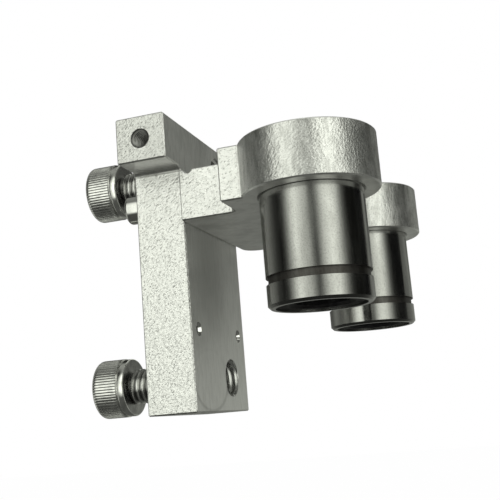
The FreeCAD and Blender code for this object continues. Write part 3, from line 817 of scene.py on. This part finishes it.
# %% [markdown]
# ## Threads
# A thread is one ridge that climbs round a cylinder, so a tree can make every thread here: a helix
# curve, a four-cornered profile swept along it, and a size that fades at both ends as a real thread
# runs out. The crest's width is a share of the pitch. A depth above zero points outwards, for a
# screw, and one below zero inwards, for a hole.

# %% Helpers for geometry trees
def new_tree(name, inputs):
    """An empty Geometry Nodes tree with named numbers, and its inputs and outputs."""
    tree = bpy.data.node_groups.new(name, "GeometryNodeTree")
    tree.interface.new_socket("Geometry", in_out="INPUT", socket_type="NodeSocketGeometry")
    for label in inputs:
        tree.interface.new_socket(label, in_out="INPUT", socket_type="NodeSocketFloat")
    tree.interface.new_socket("Finish", in_out="INPUT", socket_type="NodeSocketMaterial")
    tree.interface.new_socket("Geometry", in_out="OUTPUT", socket_type="NodeSocketGeometry")
    return tree, tree.nodes.new("NodeGroupInput").outputs, tree.nodes.new("NodeGroupOutput").inputs


def about_axis(tree):
    """A point's place, its vector out from the Z axis, and its distance from that axis."""
    place = axes_of(tree, tree.nodes.new("GeometryNodeInputPosition").outputs[0])
    out = add_node(tree, "ShaderNodeCombineXYZ", {"X": place["X"], "Y": place["Y"]}).outputs[0]
    distance = add_node(tree, "ShaderNodeVectorMath", {0: out}, operation="LENGTH").outputs["Value"]
    return place, out, distance


def mark_hollows(tree, geometry, hollow):
    """Keep on each point how hollow it lies, for the grime and painted shade of the finish."""
    inputs = {"Geometry": geometry, "Name": "hollow", "Value": hollow}
    options = {"data_type": "FLOAT", "domain": "POINT"}
    return add_node(tree, "GeometryNodeStoreNamedAttribute", inputs, **options).outputs[0]


def hand_over(tree, geometry, given, result):
    """Give the geometry its finish and pass it to the tree's output."""
    geometry = add_node(tree, "GeometryNodeRealizeInstances", {0: geometry}).outputs[0]
    inputs = {"Geometry": geometry, "Material": given["Finish"]}
    geometry = add_node(tree, "GeometryNodeSetMaterial", inputs).outputs[0]
    tree.links.new(geometry, result["Geometry"])


def grown(name, tree, values, mesh=None):
    """The mesh that a tree makes, with its inputs set by their identifiers."""
    seed = bpy.data.objects.new(f"{name}_seed", mesh or bpy.data.meshes.new(f"{name}_seed"))
    scene.collection.objects.link(seed)
    modifier = seed.modifiers.new("tree", "NODES")
    modifier.node_group = tree
    labels = [item for item in tree.interface.items_tree if item.in_out == "INPUT"]
    identifiers = {item.name: item.identifier for item in labels}
    for label, value in values.items():
        modifier[identifiers[label]] = value
    bpy.context.view_layer.update()
    ready = seed.evaluated_get(bpy.context.evaluated_depsgraph_get())
    made = bpy.data.meshes.new_from_object(ready)
    bpy.data.objects.remove(seed)
    return made


print("geometry helpers ready")

# %% Thread tree
TURN_STEPS = 40
# Half the ridge's width at its root, as a share of the pitch, and its flank as shares of its depth.
HALF_ROOT = 0.46
FLANK = (0.1, 0.9)
RUN_OUT = 0.05
# Grime and painted shade, deepest at the root and faint at the crest.
ROOT_GRIME_AND_SHADE = 0.9
CREST_GRIME_AND_SHADE = 0.2
THREAD_SINK = 0.02 * MM


def thread_profile(tree, given):
    """The ridge's section: a wide root, sunk a little into the cylinder, and a narrow crest."""
    root = times(tree, given["Sink"], calculate(tree, "SIGN", given["Depth"]))
    crest = times(tree, given["Depth"], -1.0)
    half_root = times(tree, given["Pitch"], HALF_ROOT)
    half_crest = times(tree, given["Pitch"], given["Crest"], 0.5)
    profile = add_node(tree, "GeometryNodeCurvePrimitiveQuadrilateral", mode="POINTS")
    corners = [(root, half_root, -1), (root, half_root, 1)]
    corners += [(crest, half_crest, 1), (crest, half_crest, -1)]
    for number, (reach, half_width, side) in enumerate(corners, start=1):
        inputs = {"X": reach, "Y": times(tree, half_width, side)}
        corner = add_node(tree, "ShaderNodeCombineXYZ", inputs).outputs[0]
        tree.links.new(corner, profile.inputs[f"Point {number}"])
    return profile.outputs[0]


def thread_tree():
    labels = ["Radius", "Depth", "Pitch", "Turns", "Fade", "Crest", "Sink"]
    tree, given, result = new_tree("helical_thread", labels)
    helix = add_node(tree, "GeometryNodeCurveSpiral", {
        "Resolution": TURN_STEPS, "Rotations": given["Turns"],
        "Height": times(tree, given["Pitch"], given["Turns"]),
        "Start Radius": given["Radius"], "End Radius": given["Radius"],
    }).outputs[0]
    helix = add_node(tree, "GeometryNodeSetCurveNormal", {"Curve": helix}, mode="Z_UP").outputs[0]
    progress = tree.nodes.new("GeometryNodeSplineParameter").outputs["Factor"]
    turn = times(tree, progress, given["Turns"])
    to_end = calculate(tree, "MINIMUM", turn, calculate(tree, "SUBTRACT", given["Turns"], turn))
    swept = add_node(tree, "GeometryNodeCurveToMesh", {
        "Curve": helix, "Profile Curve": thread_profile(tree, given),
        "Scale": remap(tree, to_end, 0.0, given["Fade"], RUN_OUT, 1.0), "Fill Caps": True,
    }).outputs[0]
    distance = about_axis(tree)[2]
    proud = calculate(tree, "SUBTRACT", distance, given["Radius"])
    proud = calculate(tree, "DIVIDE", proud, given["Depth"])
    swept = mark_hollows(tree, swept, remap(tree, proud, *FLANK, ROOT_GRIME_AND_SHADE, CREST_GRIME_AND_SHADE))
    hand_over(tree, swept, given, result)
    return tree


THREAD = thread_tree()


def thread_mesh(name, radius, depth, pitch, turns, fade, crest, finish):
    values = {"Radius": radius, "Depth": depth, "Pitch": pitch, "Turns": turns, "Fade": fade,
              "Crest": crest, "Sink": THREAD_SINK, "Finish": finish}
    return grown(name, THREAD, values)


print(THREAD.name, len(THREAD.nodes), "nodes")

# %% [markdown]
# ## Threads in the holes
# The holes in the plate are plain cylinders at the size of the thread's roots, so each gets a ridge
# that points inwards. The mounts and the screws' boxes say where the holes are. In the two large
# holes only the turns past a clamp screw's tip can be seen, so only those are made. Their thread is
# shallow, and its flanks catch the light from the front.

# %% Helpers for pieces
WELD = 1e-7
SHARP_EDGE = math.radians(32)


def finish_piece(name, meshes, body, nodes=()):
    """Join meshes into one piece that rides on a body, smooth but for edges where faces turn sharply."""
    shape = bmesh.new()
    mesh = bpy.data.meshes.new(name)
    for source in meshes:
        shape.from_mesh(source)
        for material in source.materials:
            if material.name not in mesh.materials:
                mesh.materials.append(material)
        bpy.data.meshes.remove(source)
    bmesh.ops.remove_doubles(shape, verts=shape.verts, dist=WELD)
    bmesh.ops.recalc_face_normals(shape, faces=shape.faces)
    shape.to_mesh(mesh)
    shape.free()
    mesh.polygons.foreach_set("use_smooth", [True] * len(mesh.polygons))
    mesh.set_sharp_from_angle(angle=SHARP_EDGE)
    piece = bpy.data.objects.new(name, mesh)
    scene.collection.objects.link(piece)
    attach(piece, body)
    if nodes:
        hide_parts(*nodes)
    return piece


def along(axis, start):
    """The matrix that stands a mesh's Z axis along an axis, with its bottom at a point."""
    turn = Vector(axis).to_track_quat("Z", "Y").to_matrix().to_4x4()
    return Matrix.Translation(start) @ turn


print("piece helpers ready")

# %% Hole threads
HOLE_FADE = 0.15
HOLE_CREST = 0.25
BAR_PITCH = 0.5 * MM
BAR_THREAD_DEPTH = 0.27 * MM
BAR_START = 0.1 * MM
BAR_BOTTOM = 0.30 * MM
SMALL_PITCH = 0.35 * MM
SMALL_THREAD_DEPTH = 0.18 * MM
SMALL_PLAIN = 0.7 * MM
SHANK_R = 3.0 * MM
CLAMP_PITCH = 1.0 * MM
CLAMP_HOLE_DEPTH = 0.26 * MM
CLAMP_HOLE_PLAY = 0.05 * MM
CLAMP_START = 0.12 * MM
BEARING_SIDE = (1, 0, 0)


def hole_thread(name, axis, mouth, radius, depth, pitch, length, start, finish):
    """A ridge inside a hole, from a distance below its mouth inwards."""
    mesh = thread_mesh(name, radius, -depth, pitch, length / pitch, HOLE_FADE, HOLE_CREST, finish)
    inwards = -Vector(axis)
    mesh.transform(along(inwards, Vector(mouth) + inwards * start))
    finish_piece(name, [mesh], "carriage")


bar = mounts["bar_thread"]
bar_mouth = (bar["pos_m"][0], plate_low.y, bar["pos_m"][2])
bar_length = bar["dims"]["length_mm"] * MM - BAR_BOTTOM
hole_thread("bar_hole_thread", bar["axis"], bar_mouth, bar["dims"]["r_mm"] * MM, BAR_THREAD_DEPTH,
            BAR_PITCH, bar_length, BAR_START, cut_thread)

small_length = plate_high.x - plate_low.x - 2 * SMALL_PLAIN
for name, shift in (("near", -half_spacing), ("far", half_spacing)):
    mouth = (plate_high.x, side_hole_y + shift, side_holes["pos_m"][2])
    hole_thread(f"small_hole_thread_{name}", BEARING_SIDE, mouth, side_holes["dims"]["hole_r_mm"] * MM,
                SMALL_THREAD_DEPTH, SMALL_PITCH, small_length, SMALL_PLAIN, cut_thread)

for which in ("lower", "upper"):
    low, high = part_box(f"clamp_screw_{which}")
    mouth = (plate_high.x, (low.y + high.y) / 2, (low.z + high.z) / 2)
    hole_thread(f"{which}_hole_thread", BEARING_SIDE, mouth, SHANK_R + CLAMP_HOLE_PLAY, CLAMP_HOLE_DEPTH,
                CLAMP_PITCH, plate_high.x - high.x - CLAMP_START, CLAMP_START, bright_thread)

# %% [markdown]
# ## The clamp screws
# A clamp screw is a socket cap screw with a straight knurl round its head. The head is turned from a
# profile of radius and height, like work in a lathe. In the socket the radius of a ring follows a
# hexagon instead of a circle. A tree then cuts the knurl: it pulls the rim's points inwards in narrow
# grooves that fade at both ends, and marks how deep each point lies. Grooves cut out one by one would
# be slower and no truer. The collar and the seat below the knurl get painted shade of their own.

# %% Knurl tree
GROOVE_EDGE = -0.62
# Painted shade on the seat, which faces the plate, and a little on the collar.
SEAT_SKIN = 0.01 * MM
SEAT_SHADE = 0.7
COLLAR_SHADE = 0.1


def knurl_tree():
    tree, given, result = new_tree("straight_knurl", ["Ridges", "Depth", "Start", "End", "Fade", "Rim"])
    place, out, distance = about_axis(tree)
    angle = calculate(tree, "ARCTAN2", place["Y"], place["X"])
    wave = calculate(tree, "COSINE", times(tree, angle, given["Ridges"]))
    full_start = calculate(tree, "ADD", given["Start"], given["Fade"])
    full_end = calculate(tree, "SUBTRACT", given["End"], given["Fade"])
    hollow = times(
        tree,
        remap(tree, wave, -1.0, GROOVE_EDGE, 1.0, 0.0),
        remap(tree, place["Z"], given["Start"], full_start),
        remap(tree, place["Z"], full_end, given["End"], 1.0, 0.0),
        calculate(tree, "GREATER_THAN", distance, given["Rim"]),
    )
    # The knurl's grooves get grime and painted shade, and the seat and the collar painted shade.
    grime_and_shade = hollow
    for height, amount in ((SEAT_SKIN, SEAT_SHADE), (given["Start"], COLLAR_SHADE)):
        patch = times(tree, calculate(tree, "LESS_THAN", place["Z"], height), amount)
        grime_and_shade = calculate(tree, "MAXIMUM", grime_and_shade, patch)
    marked = mark_hollows(tree, given["Geometry"], grime_and_shade)
    outwards = add_node(tree, "ShaderNodeVectorMath", {0: out}, operation="NORMALIZE").outputs[0]
    inputs = {0: outwards, "Scale": times(tree, hollow, given["Depth"], -1.0)}
    shift = add_node(tree, "ShaderNodeVectorMath", inputs, operation="SCALE").outputs[0]
    cut = add_node(tree, "GeometryNodeSetPosition", {"Geometry": marked, "Offset": shift}).outputs[0]
    hand_over(tree, cut, given, result)
    return tree


KNURL = knurl_tree()
print(KNURL.name, len(KNURL.nodes), "nodes")


# %% Turning helpers
def hexagon_reach(angle, width):
    """From a hexagon's middle to its edge, with its corners at multiples of 60 degrees."""
    from_corner = (angle + math.pi / 6) % (math.pi / 3) - math.pi / 6
    return width / 2 / math.cos(math.pi / 6 - abs(from_corner))


def turned(name, rings, steps):
    """Rings of radius and height joined in order. A radius may be a function of the angle, and a
    radius of 0 closes an end in one point."""
    shape = bmesh.new()
    loops = []
    for radius, height in rings:
        if radius == 0:
            loops.append([shape.verts.new((0, 0, height))] * steps)
            continue
        loop = []
        for step in range(steps):
            angle = 2 * math.pi * step / steps
            reach = radius(angle) if callable(radius) else radius
            loop.append(shape.verts.new((reach * math.cos(angle), reach * math.sin(angle), height)))
        loops.append(loop)
    for inner, outer in zip(loops, loops[1:]):
        for step in range(steps):
            after = (step + 1) % steps
            corners = [inner[step], inner[after], outer[after], outer[step]]
            shape.faces.new(list(dict.fromkeys(corners)))
    bmesh.ops.recalc_face_normals(shape, faces=shape.faces)
    mesh = bpy.data.meshes.new(name)
    shape.to_mesh(mesh)
    shape.free()
    return mesh


def arc(centre_r, centre_z, radius, start, end, steps):
    """Points of radius and height on an arc, in degrees from the radius axis."""
    points = []
    for step in range(steps + 1):
        angle = math.radians(start + (end - start) * step / steps)
        points.append((centre_r + radius * math.cos(angle), centre_z + radius * math.sin(angle)))
    return points


print("turning helpers ready")

# %% Screw head
RIDGES = 64
STEPS_PER_RIDGE = 8
HEAD_R = 5.0 * MM
HEAD_HEIGHT = 6.0 * MM
HEAD_ROUND = 0.8 * MM
HEAD_ROUND_STEPS = 8
COLLAR_R = 4.9 * MM
COLLAR_HEIGHT = 1.25 * MM
COLLAR_ROUND = 0.25 * MM
COLLAR_ROUND_STEPS = 4
NECK_R = 4.72 * MM
NECK_WIDTH = 0.2 * MM
KNURL_DEPTH = 0.16 * MM
KNURL_FADE = 0.45 * MM
KNURL_STEP = 0.1 * MM
KNURL_ROWS = 14
KNURL_START = COLLAR_HEIGHT + NECK_WIDTH
KNURL_END = HEAD_HEIGHT - HEAD_ROUND
# The grooves run on over the head's rounded edge, as far up and as far in as this.
KNURL_GONE = HEAD_HEIGHT - HEAD_ROUND / 3
KNURL_RIM = HEAD_R - 0.45 * HEAD_ROUND
CLAMP_THREAD_DEPTH = 0.54 * MM
CORE_R = SHANK_R - CLAMP_THREAD_DEPTH
SOCKET_WIDTH = 5.0 * MM
SOCKET_MOUTH = 0.12 * MM
SOCKET_FLOOR = HEAD_HEIGHT - 3.0 * MM
SOCKET_POINT = SOCKET_FLOOR - SOCKET_WIDTH / 8


def socket_wall(angle):
    return hexagon_reach(angle, SOCKET_WIDTH)


def socket_mouth(angle):
    return hexagon_reach(angle, SOCKET_WIDTH + 2 * SOCKET_MOUTH)


def screw_head(name):
    """A head with its seat at height 0, turned from seat to socket and then knurled."""
    collar_middle = COLLAR_R - COLLAR_ROUND
    row_height = (KNURL_END - KNURL_START) / KNURL_ROWS
    rings = [(0, 0), (CORE_R, 0), (collar_middle, 0)]
    rings += arc(collar_middle, COLLAR_ROUND, COLLAR_ROUND, -90, 0, COLLAR_ROUND_STEPS)[1:]
    rings += arc(collar_middle, COLLAR_HEIGHT - COLLAR_ROUND, COLLAR_ROUND, 0, 90, COLLAR_ROUND_STEPS)
    rings += [(NECK_R, COLLAR_HEIGHT), (NECK_R, KNURL_START), (HEAD_R - KNURL_STEP, KNURL_START)]
    rings += [(HEAD_R, KNURL_START + row_height * row) for row in range(KNURL_ROWS)]
    rings += arc(HEAD_R - HEAD_ROUND, KNURL_END, HEAD_ROUND, 0, 90, HEAD_ROUND_STEPS)
    rings += [(socket_mouth, HEAD_HEIGHT), (socket_wall, HEAD_HEIGHT - SOCKET_MOUTH)]
    rings += [(socket_wall, SOCKET_FLOOR), (0, SOCKET_POINT)]
    values = {"Ridges": RIDGES, "Depth": KNURL_DEPTH, "Start": KNURL_START - KNURL_STEP,
              "End": KNURL_GONE, "Fade": KNURL_FADE, "Rim": KNURL_RIM, "Finish": clamp_steel}
    return grown(name, KNURL, values, turned(name, rings, RIDGES * STEPS_PER_RIDGE))


print("head", round(2 * HEAD_R / MM), "mm across with", RIDGES, "ridges")

# %% Clamp screws
TIP_CHAMFER = 0.7 * MM
CORE_TOP = 0.01 * MM
# Grime and painted shade on the core between the thread's turns.
CORE_GRIME_AND_SHADE = 0.6
SCREW_FADE = 0.5
SCREW_CREST = 0.16
TOOL_SIDE = (-1, 0, 0)


def shank(name, length):
    """The screw's core, from its tip up into the head, and the thread round it."""
    rings = [(0, -length), (SHANK_R - TIP_CHAMFER, -length), (CORE_R, TIP_CHAMFER - length)]
    rings += [(CORE_R, CORE_TOP), (0, CORE_TOP)]
    core = turned(name, rings, TURN_STEPS)
    core.materials.append(clamp_steel)
    mark = core.attributes.new("hollow", "FLOAT", "POINT")
    mark.data.foreach_set("value", [CORE_GRIME_AND_SHADE] * len(core.vertices))
    turns = (length - TIP_CHAMFER / 2) / CLAMP_PITCH
    thread = thread_mesh(f"{name}_thread", CORE_R, CLAMP_THREAD_DEPTH, CLAMP_PITCH, turns,
                         SCREW_FADE, SCREW_CREST, clamp_steel)
    thread.transform(Matrix.Translation((0, 0, TIP_CHAMFER / 2 - length)))
    return [core, thread]


for which in ("lower", "upper"):
    name = f"clamp_screw_{which}"
    low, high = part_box(name)
    seat = low + Vector((HEAD_HEIGHT, HEAD_R, HEAD_R))
    meshes = [screw_head(f"{name}_head")] + shank(f"{name}_shank", high.x - seat.x)
    for mesh in meshes:
        mesh.transform(along(TOOL_SIDE, seat))
    screw = finish_piece(f"knurled_screw_{which}", meshes, f"{which}_clamp_screw", [name])
    print(screw.name, len(screw.data.polygons), "faces")

# %% [markdown]
# ## Finishes for the other pieces
# The plate, the yoke, the small screws and every piece of the bearings already have the right shape,
# so they stay as they are and only get their finish. The record names each node's material slot, and
# one table turns a slot into a finish.

# %% Dress the solid nodes
FINISHES = {
    "aluminium": aluminium,
    "bearing_steel": steel,
    "screw_steel": clamp_steel,
    "small_screw_steel": small_steel,
    "seal_rubber": rubber,
    "cage_plastic": plastic,
}
for part in frame["record"]["subparts"]:
    node = frame["nodes"][part["node"]]
    node.data.materials.clear()
    node.data.materials.append(FINISHES[part["material_slot"]])

# %% [markdown]
# ## Picture settings
# The Standard view keeps colours as they are written.

# %% Finish
scene.view_settings.view_transform = "Standard"
